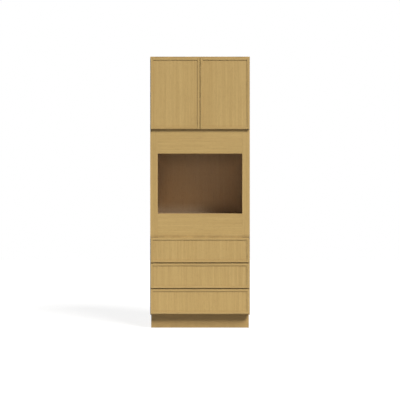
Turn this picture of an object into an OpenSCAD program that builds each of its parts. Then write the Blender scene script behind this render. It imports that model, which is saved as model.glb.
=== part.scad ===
// Tall oven housing unit: a face-frame cabinet with a pair of doors, an oven bay and three drawers.
// Millimetres. +Z is up and the fronts face -Y. The origin is on the ground, in the middle of the footprint.

/* [Cabinet] */
// Width across the face frame
cabinet_w = 838.2; // [790:0.1:960]
// Height from the ground to the top of the sides
cabinet_h = 2286; // [2150:0.1:2500]
// Depth from the front of the face frame to the back edges of the sides
cabinet_d = 609.6; // [592:0.1:700]
// Thickness of the side panels
side_t = 12.7; // [12:0.1:16]
// Thickness of the cabinet floor, the cupboard floor and the top
deck_t = 12.7; // [10:0.1:18]
// Thickness of the deck that carries the oven
oven_deck_t = 19.05; // [16:0.05:25]
// Step from the top of the oven deck down to the tongues in the sides
tongue_step = 3.175; // [2:0.05:6]
// Distance that the face frame stands past each side panel
frame_overhang = 6.35; // [3:0.05:8]
// Depth of the grooves that hold the decks and the back panel
dado_d = 6.35; // [4:0.05:7]
// Thickness of the back panel
back_t = 6.35; // [5:0.05:9]
// Distance from the back edges of the sides to the back panel, which the hanging rails fill
back_inset = 19.05; // [16:0.05:25]
// Height of the hanging rails
hanging_rail_h = 88.9; // [60:0.1:110]
// Distance from the top of the sides down to the top panel
top_inset = 12.7; // [6:0.1:20]
// Height of the toe space
toe_h = 114.3; // [90:0.1:130]
// Depth of the toe space behind the front of the face frame
toe_recess = 53.975; // [50:0.025:100]
// Thickness of the toe board
toe_board_t = 12.7; // [9:0.1:19]
// Thickness of the cleats under the oven deck
cleat_t = 19.05; // [16:0.05:25]
// Height of the cleats under the oven deck
cleat_h = 38.1; // [25:0.1:60]
// Gap between the back cleat and the side cleats
cleat_gap = 2; // [0.5:0.1:5]
// Distance between the two wall fixing holes
fixing_spacing = 406.4; // [200:0.1:700]
// Diameter of the wall fixing holes
fixing_d = 5; // [4:0.1:8]

/* [Face frame] */
// Thickness of the face frame
frame_t = 19.05; // [18:0.05:25]
// Width of the stiles beside the doors and the drawers
stile_w = 38.1; // [36:0.1:39]
// Height of the narrow rails
rail_h = 38.1; // [30:0.1:45]
// Width of the oven opening
oven_open_w = 711.2; // [600:0.1:760]
// Height of the oven opening
oven_open_h = 504.8; // [450:0.1:600]
// Height of the rail under the oven opening
lower_rail_h = 231.775; // [150:0.1:300]
// Height of the rail over the oven opening
upper_rail_h = 238.15; // [150:0.1:300]

/* [Fronts] */
// Thickness of the doors and the drawer fronts
front_t = 19.05; // [18:0.05:25]
// Gap between the face frame and the backs of the fronts
front_gap = 3.175; // [3:0.05:5]
// Strip of face frame left bare at each side
side_reveal = 4.7625; // [3:0.0125:6]
// Strip of face frame left bare above the doors
top_reveal = 12.7; // [3:0.05:18]
// Strip of face frame left bare below the bottom drawer
bottom_reveal = 9.525; // [3:0.05:15]
// How far the doors cover the rail over the oven opening
door_overlap = 31.75; // [20:0.05:40]
// Gap between one drawer front and the next
drawer_gap = 9.525; // [3:0.05:15]
// Gap between the two doors
door_gap = 4.7625; // [2:0.0125:6]
// Height of the drawer fronts
drawer_front_h = 206.375; // [195:0.1:260]
// Width of the slim frame round each front
edge_w = 19.05; // [12:0.05:60]
// Step from the face of the slim frame down to the panel
panel_recess = 4.7625; // [3:0.0125:7]
// Width of the eased edges of the slim frame
ease = 1; // [0.5:0.1:2]
// Width of the panel that lies behind the slim frame
panel_lap = 6.35; // [4:0.05:9]
// Glue line between the stiles and the rails of a front
glue_gap = 0.1; // [0.05:0.01:0.2]
// Diameter of the soft bumpers on the doors
bumper_d = 10; // [8:0.5:14]
// Distance from a bumper to the edges of its door
bumper_edge = 7; // [4:0.5:9]
// Space between a bumper and the face frame
bumper_clear = 0.3; // [0.2:0.05:0.6]

/* [Drawer boxes] */
// Thickness of the box sides
box_side_t = 15.875; // [12:0.1:19]
// Thickness of the box ends
box_end_t = 15.875; // [12:0.1:19]
// Height of the boxes
box_h = 127; // [100:0.1:132]
// Gap between the boxes and the back panel
box_back_gap = 28.575; // [10:0.1:60]
// Height of a box above the lower edge of its front
box_lift = 44; // [34:0.1:48]
// Thickness of the box bottoms
box_bottom_t = 6.35; // [4:0.05:9]
// Height of a bottom above the lower edges of its box
box_bottom_up = 12.7; // [8:0.1:16]
// Depth of the groove that holds a bottom
box_groove_d = 6.35; // [4:0.05:8]
// Number of dovetails at each corner
tail_count = 5; // [3:1:7]
// Width of a dovetail at the end of its board
tail_w = 18; // [12:0.1:24]
// Run of a dovetail's flank for each unit of flare
tail_slope = 8; // [6:0.5:10]

/* [Drawer runners] */
// How much shorter a runner is than its box
runner_short = 8.8; // [8:0.1:60]
// Thickness of a runner from the cabinet to the drawer box
runner_t = 12.7; // [12.5:0.05:14]
// Height of the cabinet member
runner_h = 45; // [40:0.1:50]
// Depth of the cabinet member
channel_d = 9.6; // [9:0.1:10.4]
// Thickness of the runner steel
steel_t = 1.2; // [1:0.05:1.3]
// Setback of the runners from the front of the face frame
runner_setback = 3; // [2:0.1:6]
// Height of a runner's centre above the bottom of its box
runner_up = 50; // [35:0.1:75]
// Height of the wooden blocks that carry the runners
block_h = 63.5; // [52:0.1:80]
// Diameter of the bearing balls
ball_d = 3; // [2.6:0.1:3.2]
// Running clearance on each side of a ball
ball_clear = 0.05; // [0.03:0.01:0.1]
// Number of balls in each row of a cage
ball_count = 6; // [3:1:9]
// Length of the ball cages
cage_length = 180; // [120:1:200]
// Distance from the front of a runner to its cages when the drawer is shut
cage_setback = 190; // [150:1:200]
// Gap between the middle member's edges and the plane of the drawer member's web
member_gap = 0.5; // [0.3:0.05:0.8]
// Height of the lips that keep the balls in the cabinet member
lip_h = 1; // [0.6:0.05:1.1]
// Play of a ball in its hole in the cage
ball_play = 0.2; // [0.1:0.05:0.3]
// Thickness of the cage strip
cage_t = 0.6; // [0.4:0.05:0.7]
// Gap between a cage and the members beside it
cage_gap = 0.6; // [0.4:0.05:0.7]

/* [Hinges] */
// Distance from the ends of a door to the middles of its hinges
hinge_inset = 76.2; // [50:0.1:120]
// Diameter of the hinge cup
cup_d = 35; // [34.5:0.1:36]
// Wood left between the outer edge of a door and its cup bores
cup_tab = 2.5; // [2:0.1:3]
// Depth of the hinge cup
cup_depth = 11; // [10.5:0.1:11]
// Thickness of the wall of the cup
cup_wall = 0.75; // [0.5:0.05:1]
// Thickness of the cup's floor and of its flange
cup_floor = 1; // [0.8:0.05:1.1]
// Width of the flange beyond the cup
cup_lip = 1; // [0.5:0.05:2]
// Clearance between the cup and its bore
cup_fit = 0.05; // [0.02:0.01:0.2]
// Distance between the two screw holes of a cup
ear_spacing = 45; // [44:0.1:50]
// Width of the ears that hold the screw holes
ear_w = 11; // [9:0.1:13]
// Thickness of the hinge arm
arm_t = 1.5; // [1.2:0.05:1.6]
// Width of the hinge arm inside the cup
arm_w = 10; // [8:0.1:10.4]
// Width of the plate that screws to the stile
plate_w = 24; // [18:0.5:30]
// Clearance on each side of the arm inside the cup
arm_clear = 0.5; // [0.3:0.05:0.8]
// Diameter of the hinge pin
pin_d = 2.5; // [2:0.1:2.6]
// Running clearance all round the hinge pin
pin_clear = 0.05; // [0.02:0.01:0.1]
// Distance from the cup's middle to the hinge pin
pin_offset = 13.4; // [12.5:0.1:13.5]
// Depth of the hinge pin below the back of the door
pin_depth = 7.8; // [7:0.05:7.85]
// Wall of the knuckle round the pin
knuckle_wall = 0.6; // [0.4:0.05:0.7]
// Step from the outside of the knuckle up to the arm
knuckle_rise = 0.55; // [0.4:0.05:0.9]
// Thickness of the metal that holds each end of the pin
cheek_w = 3.5; // [2.5:0.1:4]
// Distance from the cup's middle to the line of its screw holes
ear_offset = 9.5; // [8:0.1:11]
// Length of the plate along the edge of the stile
plate_l = 16.75; // [12:0.05:17]
// Distance from the plate to the back of the stile
plate_setback = 2; // [1:0.05:4]

/* [Shelf] */
// Thickness of the cupboard shelf
shelf_t = 19.05; // [15:0.05:25]
// Clearance between the shelf and what stands round it
shelf_clear = 2; // [1.5:0.1:4]
// Distance between the rows of shelf pin holes and the front and back edges of the shelf
pin_row_inset = 60; // [30:1:120]
// Distance between shelf pin holes
hole_pitch = 32; // [25:1:40]
// Number of shelf pin holes in a row
hole_count = 5; // [3:2:9]
// Diameter of the shelf pin holes
hole_d = 5; // [4.5:0.1:6]
// Depth of the shelf pin holes
hole_depth = 9; // [7:0.1:10]
// Length of a shelf pin beyond its hole
peg_l = 8; // [5:0.1:12]
// Play of a shelf pin in its hole
peg_play = 0.1; // [0.05:0.01:0.2]
// Diameter of a shelf pin's collar
collar_d = 8; // [7:0.1:10]

/* [Screws] */
// Diameter of the screw holes in the runners and the hinges
screw_d = 4.2; // [3.5:0.1:5]
// Distance between the screw holes in the runners
screw_pitch = 224; // [160:1:256]
// Distance from the front of a runner to its first screw hole
screw_setback = 37; // [20:1:60]

/* [Hidden] */
$fn = 64;

maple = [0.74, 0.62, 0.41];
plywood = [0.80, 0.70, 0.52];
zinc = [0.72, 0.73, 0.75];
bright_steel = [0.85, 0.86, 0.88];
clear_rubber = [0.88, 0.88, 0.85];

// How far a cutting shape stands past the face that it cuts
cut = 1;

// From front to back
front_y = -(cabinet_d + front_gap + front_t) / 2;
door_back_y = front_y + front_t;
frame_y = door_back_y + front_gap;
box_y = frame_y + frame_t;
back_y = frame_y + cabinet_d;
back_panel_y = back_y - back_inset - back_t;
notch_y = frame_y + toe_recess + toe_board_t;

// From the middle to the side
side_out_x = cabinet_w / 2 - frame_overhang;
side_in_x = side_out_x - side_t;
groove_x = side_in_x + dado_d;
stile_in_x = cabinet_w / 2 - stile_w;
oven_x = oven_open_w / 2;
front_x = cabinet_w / 2 - side_reveal;

// From the ground up
drawer_z = [for (i = [0 : 2]) toe_h + bottom_reveal + i * (drawer_front_h + drawer_gap)];
overlap = rail_h - bottom_reveal; // of the outer drawer fronts on the rails beyond them
lower_rail_z = drawer_z[2] + drawer_front_h - overlap;
oven_z = lower_rail_z + lower_rail_h;
upper_rail_z = oven_z + oven_open_h;
cupboard_z = upper_rail_z + upper_rail_h;
door_z = cupboard_z - door_overlap;
door_h = cabinet_h - top_reveal - door_z;
floor_z = toe_h + rail_h;
top_z = cabinet_h - top_inset;
shelf_z = cupboard_z + (top_z - deck_t - cupboard_z) / 2;

// Doors
door_w = front_x - door_gap / 2;
panel_edge = edge_w - panel_lap; // from the edge of a front to the edge of its panel
bumper_t = front_gap - bumper_clear;
bumper_inset = bumper_d / 2 + bumper_edge;

// Hinges, in the door's own directions: u from its outer edge inwards, v from its back face rearwards
cup_r = cup_d / 2 - cup_fit;
cup_in_r = cup_r - cup_wall;
arm_u = stile_w - side_reveal; // where the plate lies on the edge of the stile
cup_u = max(cup_d / 2 + cup_tab, arm_u + arm_t + arm_clear - cup_in_r);
pin_u = cup_u - pin_offset;
slot_w = arm_w + 2 * arm_clear;
pin_l = slot_w + 2 * cheek_w;
knuckle_d = pin_d + 2 * (pin_clear + knuckle_wall);
ear_u = cup_u + ear_offset;
arm_v = -pin_depth - knuckle_d / 2 + knuckle_rise; // face of the arm that is nearer the cup's floor
plate_v = front_gap + frame_t - plate_l - plate_setback;

// Drawer boxes
box_w = 2 * (stile_in_x - runner_t);
box_l = back_panel_y - box_back_gap - door_back_y;
tail_flare = box_end_t / tail_slope;

// Runners, in their own section: p from the cabinet towards the drawer box, q up from the centre line
runner_y = frame_y + runner_setback;
runner_l = box_l - runner_short;
outer_cage_p = steel_t + cage_gap;
middle_p = outer_cage_p + cage_t + cage_gap;
inner_cage_p = middle_p + steel_t + cage_gap;
drawer_p = inner_cage_p + cage_t + cage_gap;
middle_end_p = runner_t - steel_t - member_gap;
outer_ball_p = (middle_p + channel_d) / 2;
inner_ball_p = (drawer_p + middle_end_p) / 2;
race = ball_d + 2 * ball_clear; // space between two members where a ball runs
middle_half_h = runner_h / 2 - steel_t - race;
drawer_half_h = middle_half_h - steel_t - race;
outer_ball_q = middle_half_h + race / 2;
inner_ball_q = drawer_half_h + race / 2;
ball_hole_d = ball_d + ball_play;

// A board from its lowest corner to its highest
module board(low, high) {
  translate(low)
    cube(high - low);
}

// What is drawn on the right, and its mirror image on the left
module both_sides() {
  children();
  mirror([1, 0, 0])
    children();
}

// A flat outline of x and z, run back along y
module run_back(y, length) {
  translate([0, y + length, 0])
    rotate([90, 0, 0])
      linear_extrude(length)
        children();
}

// A flat outline of y and z, run along x
module run_across(x, length) {
  translate([x, 0, 0])
    rotate([90, 0, 90])
      linear_extrude(length)
        children();
}

// ---- Cabinet ----

// A deck between the sides, with its top face at z
module deck(z, thickness) {
  board([-groove_x, box_y, z - thickness], [groove_x, back_panel_y, z]);
}

// The oven deck lies flat from side to side, and only its thinner tongues reach into the grooves
module oven_deck_board() {
  z = oven_z - oven_deck_t;
  board([-side_in_x, box_y, z], [side_in_x, back_panel_y, oven_z]);
  deck(oven_z - tongue_step, oven_deck_t - tongue_step);
}

module decks() {
  deck(floor_z, deck_t);
  oven_deck_board();
  deck(cupboard_z, deck_t);
  deck(top_z, deck_t);
}

module back_board() {
  board([-groove_x, back_panel_y, toe_h], [groove_x, back_panel_y + back_t, top_z]);
}

module side_outline() {
  polygon([
    [box_y, toe_h], [notch_y, toe_h], [notch_y, 0],
    [back_y, 0], [back_y, cabinet_h], [box_y, cabinet_h]
  ]);
}

// Front and back rows of shelf pins, as places for what is drawn on the right side
module shelf_pin_rows() {
  for (y = [box_y + pin_row_inset, back_panel_y - pin_row_inset])
    translate([side_in_x, y, shelf_z - hole_d / 2])
      children();
}

module side_panel() {
  color(maple)
    difference() {
      run_across(side_in_x, side_t)
        side_outline();
      decks();
      back_board();
      shelf_pin_rows()
        for (i = [0 : hole_count - 1])
          translate([0, 0, (i - (hole_count - 1) / 2) * hole_pitch])
            rotate([0, 90, 0])
              cylinder(d = hole_d, h = 2 * hole_depth, center = true);
    }
}

module cabinet_floor() {
  color(plywood)
    deck(floor_z, deck_t);
}

module cabinet_top() {
  color(plywood)
    deck(top_z, deck_t);
}

module oven_deck() {
  color(plywood)
    oven_deck_board();
}

module cupboard_floor() {
  color(plywood)
    deck(cupboard_z, deck_t);
}

// Wall fixing holes, through the back panel and the top hanging rail
module fixing_holes() {
  for (side = [-1, 1])
    translate([side * fixing_spacing / 2, back_y + cut, top_z - hanging_rail_h / 2])
      rotate([90, 0, 0])
        cylinder(d = fixing_d, h = back_inset + back_t + 2 * cut);
}

module back_panel() {
  color(plywood)
    difference() {
      back_board();
      fixing_holes();
    }
}

module hanging_rails() {
  color(plywood)
    difference() {
      for (z = [toe_h, oven_z - hanging_rail_h, top_z - hanging_rail_h])
        board([-side_in_x, back_panel_y + back_t, z], [side_in_x, back_y, z + hanging_rail_h]);
      fixing_holes();
    }
}

module toe_kick_board() {
  color(maple)
    board([-side_out_x, notch_y - toe_board_t, 0], [side_out_x, notch_y, toe_h]);
}

module oven_deck_cleats() {
  z = oven_z - oven_deck_t;
  back_x = side_in_x - cleat_t - cleat_gap;
  color(plywood) {
    both_sides()
      board([side_in_x - cleat_t, box_y, z - cleat_h], [side_in_x, back_panel_y, z]);
    board([-back_x, back_panel_y - cleat_t, z - cleat_h], [back_x, back_panel_y, z]);
  }
}

// ---- Face frame ----

// The stile is wider beside the oven, where no door or drawer needs the room
module stile() {
  color(maple)
    union() {
      board([stile_in_x, frame_y, toe_h], [cabinet_w / 2, box_y, cabinet_h]);
      board([oven_x, frame_y, lower_rail_z], [cabinet_w / 2, box_y, cupboard_z]);
    }
}

module rail(half_length, z, height) {
  board([-half_length, frame_y, z], [half_length, box_y, z + height]);
}

module frame_rails() {
  color(maple) {
    rail(stile_in_x, toe_h, rail_h);
    for (i = [1, 2])
      rail(stile_in_x, drawer_z[i] - drawer_gap / 2 - rail_h / 2, rail_h);
    rail(stile_in_x, cabinet_h - rail_h, rail_h);
  }
}

module lower_oven_rail() {
  color(maple)
    rail(oven_x, lower_rail_z, lower_rail_h);
}

module upper_oven_rail() {
  color(maple)
    rail(oven_x, upper_rail_z, upper_rail_h);
}

// ---- Cupboard shelf ----

module cupboard_shelf() {
  x = side_in_x - shelf_clear;
  color(plywood)
    board([-x, box_y + shelf_clear, shelf_z], [x, back_panel_y - shelf_clear, shelf_z + shelf_t]);
}

// Each pin has a thin collar against the side and a peg under the shelf
module shelf_pins() {
  collar_t = shelf_clear / 2;
  color(zinc)
    both_sides()
      shelf_pin_rows()
        rotate([0, -90, 0]) {
          translate([0, 0, peg_play - hole_depth])
            cylinder(d = hole_d - peg_play, h = hole_depth + peg_l);
          cylinder(d = collar_d, h = collar_t);
        }
}

// ---- Fronts ----

// Section of the slim frame, from the edge of a front inwards and from its face back
module edge_section() {
  polygon([
    [0, front_t], [0, ease], [ease, 0], [edge_w - ease, 0], [edge_w, ease],
    [edge_w, panel_recess], [panel_edge, panel_recess], [panel_edge, front_t]
  ]);
}

// Pieces of a front whose lower left corner is at the origin, its face at y = 0 and its back at y = front_t
module front_stiles(w, h) {
  for (side = [0, 1])
    translate([side * w, 0, 0])
      mirror([side, 0, 0])
        linear_extrude(h)
          edge_section();
}

// The rails run between the stiles, and their backs reach further, to the edges of the panel
module front_rails(w, h) {
  start = panel_edge + glue_gap;
  for (end = [0, 1])
    translate([0, 0, end * h])
      mirror([0, 0, end])
        difference() {
          translate([start, 0, 0])
            mirror([1, 0, -1])
              linear_extrude(w - 2 * start)
                edge_section();
          for (x = [0, w - edge_w - glue_gap])
            board([x, -cut, -cut], [x + edge_w + glue_gap, panel_recess + glue_gap, edge_w + cut]);
        }
}

module front_board(w, h) {
  board([panel_edge, panel_recess, panel_edge], [w - panel_edge, front_t, h - panel_edge]);
}

// The right door's pieces are drawn in its place; the left door mirrors them
module door_place() {
  translate([door_gap / 2, front_y, door_z])
    children();
}

// Both hinges of the right door, in directions u, v and up from the middle of the hinge
module hinge_places() {
  for (z = [door_z + hinge_inset, door_z + door_h - hinge_inset])
    translate([front_x, door_back_y, z])
      mirror([1, 0, 0])
        children();
}

module cup_bores() {
  hinge_places()
    translate([cup_u, cut, 0])
      rotate([90, 0, 0])
        cylinder(d = cup_d, h = cut + cup_depth + 2 * cup_fit);
}

module door_stiles() {
  color(maple)
    difference() {
      door_place()
        front_stiles(door_w, door_h);
      cup_bores();
    }
}

module door_rails() {
  color(maple)
    door_place()
      front_rails(door_w, door_h);
}

module door_panel() {
  color(maple)
    difference() {
      door_place()
        front_board(door_w, door_h);
      cup_bores();
    }
}

module door_bumpers() {
  color(clear_rubber)
    for (z = [door_z + bumper_inset, door_z + door_h - bumper_inset])
      translate([door_gap / 2 + bumper_inset, door_back_y, z])
        rotate([-90, 0, 0])
          cylinder(d = bumper_d, h = bumper_t);
}

// ---- Hinges ----

module pin_bore() {
  translate([pin_u, -pin_depth, 0])
    cylinder(d = pin_d + 2 * pin_clear, h = 2 * pin_l, center = true);
}

// Flange of the cup, cut short of the door's edge so that it swings clear of the face frame
module cup_flange() {
  flange_d = cup_d + 2 * cup_lip;
  difference() {
    union() {
      translate([cup_u, 0])
        circle(d = flange_d);
      translate([ear_u, 0])
        square([ear_w, ear_spacing], center = true);
      for (side = [-1, 1])
        translate([ear_u, side * ear_spacing / 2])
          circle(d = ear_w);
    }
    for (side = [-1, 1])
      translate([ear_u, side * ear_spacing / 2])
        circle(d = screw_d);
    translate([cup_u, 0])
      circle(r = cup_in_r);
    translate([-flange_d, -flange_d / 2])
      square([flange_d + cup_u - cup_r, flange_d]);
  }
}

module hinge_cup() {
  slot_u = cup_u - cup_in_r;
  difference() {
    union() {
      difference() {
        translate([cup_u, 0, 0])
          rotate([90, 0, 0])
            cylinder(r = cup_r, h = cup_depth);
        translate([cup_u, cut, 0])
          rotate([90, 0, 0])
            cylinder(r = cup_in_r, h = cut + cup_depth - cup_floor);
      }
      intersection() {
        translate([cup_u, 0, 0])
          rotate([90, 0, 0])
            cylinder(r = cup_r, h = cup_depth);
        board([0, -cup_depth, -pin_l / 2], [pin_u + knuckle_d, -cup_floor, pin_l / 2]);
      }
      translate([0, cup_floor, 0])
        rotate([90, 0, 0])
          linear_extrude(cup_floor)
            cup_flange();
    }
    // Way for the arm, open through the far wall
    board([slot_u, cup_floor - cup_depth, -slot_w / 2], [cup_u + cup_d, 2 * cup_floor, slot_w / 2]);
    pin_bore();
  }
}

module hinge_cups() {
  color(zinc)
    hinge_places()
      hinge_cup();
}

module hinge_pins() {
  color(bright_steel)
    hinge_places()
      translate([pin_u, -pin_depth, 0])
        cylinder(d = pin_d, h = pin_l, center = true);
}

// Knuckle on the pin, arm across the cup, and plate along the edge of the stile
module hinge_arm() {
  arm_l = plate_v + plate_l - arm_v;
  difference() {
    union() {
      translate([pin_u, -pin_depth, 0])
        cylinder(d = knuckle_d, h = arm_w, center = true);
      board([pin_u, arm_v, -arm_w / 2], [arm_u + arm_t, arm_v + arm_t, arm_w / 2]);
      board([arm_u, arm_v, -arm_w / 2], [arm_u + arm_t, arm_v + arm_l, arm_w / 2]);
      board([arm_u, plate_v, -plate_w / 2], [arm_u + arm_t, plate_v + plate_l, plate_w / 2]);
    }
    pin_bore();
    for (side = [-1, 1])
      translate([arm_u - cut, plate_v + plate_l / 2, side * plate_w / 4])
        rotate([0, 90, 0])
          cylinder(d = screw_d, h = arm_t + 2 * cut);
  }
}

module hinge_arms() {
  color(zinc)
    both_sides()
      hinge_places()
        hinge_arm();
}

// ---- Drawers, each given the height of the lower edge of its front ----

module drawer_front_place(z) {
  translate([-front_x, front_y, z])
    children();
}

module front_frame(z) {
  color(maple)
    drawer_front_place(z) {
      front_stiles(2 * front_x, drawer_front_h);
      front_rails(2 * front_x, drawer_front_h);
    }
}

module front_panel(z) {
  color(maple)
    drawer_front_place(z)
      front_board(2 * front_x, drawer_front_h);
}

// Dovetails at one end of a box side, whose end is at y = 0
module tails() {
  for (i = [0 : tail_count - 1]) {
    middle = (i + 0.5) * box_h / tail_count;
    wide = tail_w / 2;
    narrow = wide - tail_flare;
    polygon([
      [0, middle - wide], [0, middle + wide],
      [box_end_t, middle + narrow], [box_end_t, middle - narrow]
    ]);
  }
}

module box_side_outline() {
  translate([box_end_t, 0])
    square([box_l - 2 * box_end_t, box_h]);
  tails();
  translate([box_l, 0])
    mirror([1, 0])
      tails();
}

module box_side_blanks(z) {
  both_sides()
    translate([0, door_back_y, z])
      run_across(box_w / 2 - box_side_t, box_side_t)
        box_side_outline();
}

module bottom_board(z) {
  x = box_w / 2 - box_side_t + box_groove_d;
  y = box_end_t - box_groove_d;
  translate([0, door_back_y, z + box_bottom_up])
    board([-x, y, 0], [x, box_l - y, box_bottom_t]);
}

module box_sides(front_z) {
  z = front_z + box_lift;
  color(plywood)
    difference() {
      box_side_blanks(z);
      bottom_board(z);
    }
}

module box_ends(front_z) {
  z = front_z + box_lift;
  color(plywood)
    difference() {
      for (y = [door_back_y, door_back_y + box_l - box_end_t])
        board([-box_w / 2, y, z], [box_w / 2, y + box_end_t, z + box_h]);
      box_side_blanks(z);
      bottom_board(z);
    }
}

module box_bottom(front_z) {
  color(plywood)
    bottom_board(front_z + box_lift);
}

// ---- Drawer runners ----

// Both runners of a drawer, in directions p, y and q from the centre line of a runner
module runner_places(front_z) {
  both_sides()
    translate([stile_in_x, 0, front_z + box_lift + runner_up])
      mirror([1, 0, 0])
        children();
}

// A channel of runner steel that opens towards larger p
module channel(p, end_p, half_h) {
  difference() {
    translate([p, -half_h])
      square([end_p - p, 2 * half_h]);
    translate([p + steel_t, steel_t - half_h])
      square([end_p, 2 * (half_h - steel_t)]);
  }
}

// Screw holes through the web of a member
module runner_screw_holes(p) {
  for (i = [0 : 2])
    translate([p - cut, runner_y + screw_setback + i * screw_pitch, 0])
      rotate([0, 90, 0])
        cylinder(d = screw_d, h = steel_t + 2 * cut);
}

module runner_blocks() {
  color(plywood)
    for (z = drawer_z)
      both_sides()
        translate([0, 0, z + box_lift + runner_up])
          board([stile_in_x, box_y, -block_h / 2], [side_in_x, back_panel_y, block_h / 2]);
}

// The cabinet member has small lips that keep the balls in
module cabinet_member() {
  run_back(runner_y, runner_l) {
    channel(0, channel_d, runner_h / 2);
    for (side = [0, 1])
      mirror([0, side])
        translate([channel_d - steel_t, runner_h / 2 - steel_t - lip_h])
          square([steel_t, lip_h + steel_t]);
  }
}

module cabinet_runners() {
  color(zinc)
    for (z = drawer_z)
      runner_places(z)
        difference() {
          cabinet_member();
          runner_screw_holes(0);
        }
}

module middle_runners(front_z) {
  color(zinc)
    runner_places(front_z)
      run_back(runner_y, runner_l)
        channel(middle_p, middle_end_p, middle_half_h);
}

// The drawer member opens towards the cabinet, so its section is turned round
module drawer_runners(front_z) {
  color(zinc)
    runner_places(front_z)
      difference() {
        run_back(runner_y, runner_l)
          translate([runner_t, 0])
            mirror([1, 0])
              channel(0, runner_t - drawer_p, drawer_half_h);
        runner_screw_holes(runner_t - steel_t);
      }
}

// Where the balls of a cage sit, in two rows
module ball_places(ball_p, ball_q) {
  pitch = cage_length / ball_count;
  for (i = [0 : ball_count - 1])
    for (side = [-1, 1])
      translate([ball_p, runner_y + cage_setback + (i + 0.5) * pitch, side * ball_q])
        children();
}

// A cage strip folded round a member, and the loose balls in its holes
module ball_cage(p, ball_p, ball_q) {
  end_p = ball_p + ball_hole_d / 2 + cage_t;
  difference() {
    run_back(runner_y + cage_setback, cage_length) {
      translate([p, -ball_q - cage_t / 2])
        square([cage_t, 2 * ball_q + cage_t]);
      for (side = [-1, 1])
        translate([p, side * ball_q - cage_t / 2])
          square([end_p - p, cage_t]);
    }
    ball_places(ball_p, ball_q)
      cylinder(d = ball_hole_d, h = 2 * cage_t, center = true);
  }
  ball_places(ball_p, ball_q)
    sphere(d = ball_d);
}

module outer_cages(front_z) {
  color(bright_steel)
    runner_places(front_z)
      ball_cage(outer_cage_p, outer_ball_p, outer_ball_q);
}

module inner_cages(front_z) {
  color(bright_steel)
    runner_places(front_z)
      ball_cage(inner_cage_p, inner_ball_p, inner_ball_q);
}

module mirrored() {
  mirror([1, 0, 0])
    children();
}

mirrored() side_panel();  // left_side_panel
side_panel();  // right_side_panel
cabinet_floor();
cabinet_top();
back_panel();
hanging_rails();
toe_kick_board();
mirrored() stile();  // left_stile
stile();  // right_stile
frame_rails();
upper_oven_rail();
lower_oven_rail();
oven_deck();
oven_deck_cleats();
cupboard_floor();
cupboard_shelf();
shelf_pins();
runner_blocks();
cabinet_runners();
hinge_arms();

mirrored() door_stiles();  // left_door_stiles
mirrored() door_rails();  // left_door_rails
mirrored() door_panel();  // left_door_panel
mirrored() hinge_cups();  // left_hinge_cups
mirrored() hinge_pins();  // left_hinge_pins
mirrored() door_bumpers();  // left_door_bumpers
door_stiles();  // right_door_stiles
door_rails();  // right_door_rails
door_panel();  // right_door_panel
hinge_cups();  // right_hinge_cups
hinge_pins();  // right_hinge_pins
door_bumpers();  // right_door_bumpers

front_frame(drawer_z[2]);  // top_front_frame
front_panel(drawer_z[2]);  // top_front_panel
box_sides(drawer_z[2]);  // top_box_sides
box_ends(drawer_z[2]);  // top_box_ends
box_bottom(drawer_z[2]);  // top_box_bottom
drawer_runners(drawer_z[2]);  // top_drawer_runners
inner_cages(drawer_z[2]);  // top_inner_cages
middle_runners(drawer_z[2]);  // top_middle_runners
outer_cages(drawer_z[2]);  // top_outer_cages

front_frame(drawer_z[1]);  // middle_front_frame
front_panel(drawer_z[1]);  // middle_front_panel
box_sides(drawer_z[1]);  // middle_box_sides
box_ends(drawer_z[1]);  // middle_box_ends
box_bottom(drawer_z[1]);  // middle_box_bottom
drawer_runners(drawer_z[1]);  // middle_drawer_runners
inner_cages(drawer_z[1]);  // middle_inner_cages
middle_runners(drawer_z[1]);  // middle_middle_runners
outer_cages(drawer_z[1]);  // middle_outer_cages

front_frame(drawer_z[0]);  // bottom_front_frame
front_panel(drawer_z[0]);  // bottom_front_panel
box_sides(drawer_z[0]);  // bottom_box_sides
box_ends(drawer_z[0]);  // bottom_box_ends
box_bottom(drawer_z[0]);  // bottom_box_bottom
drawer_runners(drawer_z[0]);  // bottom_drawer_runners
inner_cages(drawer_z[0]);  // bottom_inner_cages
middle_runners(drawer_z[0]);  // bottom_middle_runners
outer_cages(drawer_z[0]);  // bottom_outer_cages
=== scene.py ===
import math

import bmesh
import bpy
from mathutils import Matrix, Vector


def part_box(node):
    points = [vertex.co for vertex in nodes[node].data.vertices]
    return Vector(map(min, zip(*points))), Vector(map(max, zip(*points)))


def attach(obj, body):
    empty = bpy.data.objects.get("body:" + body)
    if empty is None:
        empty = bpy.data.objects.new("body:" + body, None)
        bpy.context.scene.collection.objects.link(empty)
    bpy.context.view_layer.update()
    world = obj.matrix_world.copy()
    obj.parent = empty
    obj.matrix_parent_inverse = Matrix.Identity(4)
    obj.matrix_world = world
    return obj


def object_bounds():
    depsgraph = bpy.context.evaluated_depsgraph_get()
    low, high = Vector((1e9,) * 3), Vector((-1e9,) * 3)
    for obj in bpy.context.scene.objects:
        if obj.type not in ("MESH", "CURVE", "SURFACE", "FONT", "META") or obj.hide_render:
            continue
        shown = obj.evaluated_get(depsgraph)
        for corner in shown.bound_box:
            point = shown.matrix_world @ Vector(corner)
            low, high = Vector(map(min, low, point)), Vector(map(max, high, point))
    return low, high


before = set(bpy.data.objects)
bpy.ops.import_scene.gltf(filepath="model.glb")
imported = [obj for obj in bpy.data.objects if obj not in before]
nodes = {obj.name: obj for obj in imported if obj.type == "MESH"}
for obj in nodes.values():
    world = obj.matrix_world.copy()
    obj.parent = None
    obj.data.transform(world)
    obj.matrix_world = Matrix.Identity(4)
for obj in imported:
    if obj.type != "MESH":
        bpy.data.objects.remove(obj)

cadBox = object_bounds()
drawerNames = ("top", "middle", "bottom")
doorSides = {"left": -1, "right": 1}
print("frame loaded:", len(nodes), "nodes")


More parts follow.
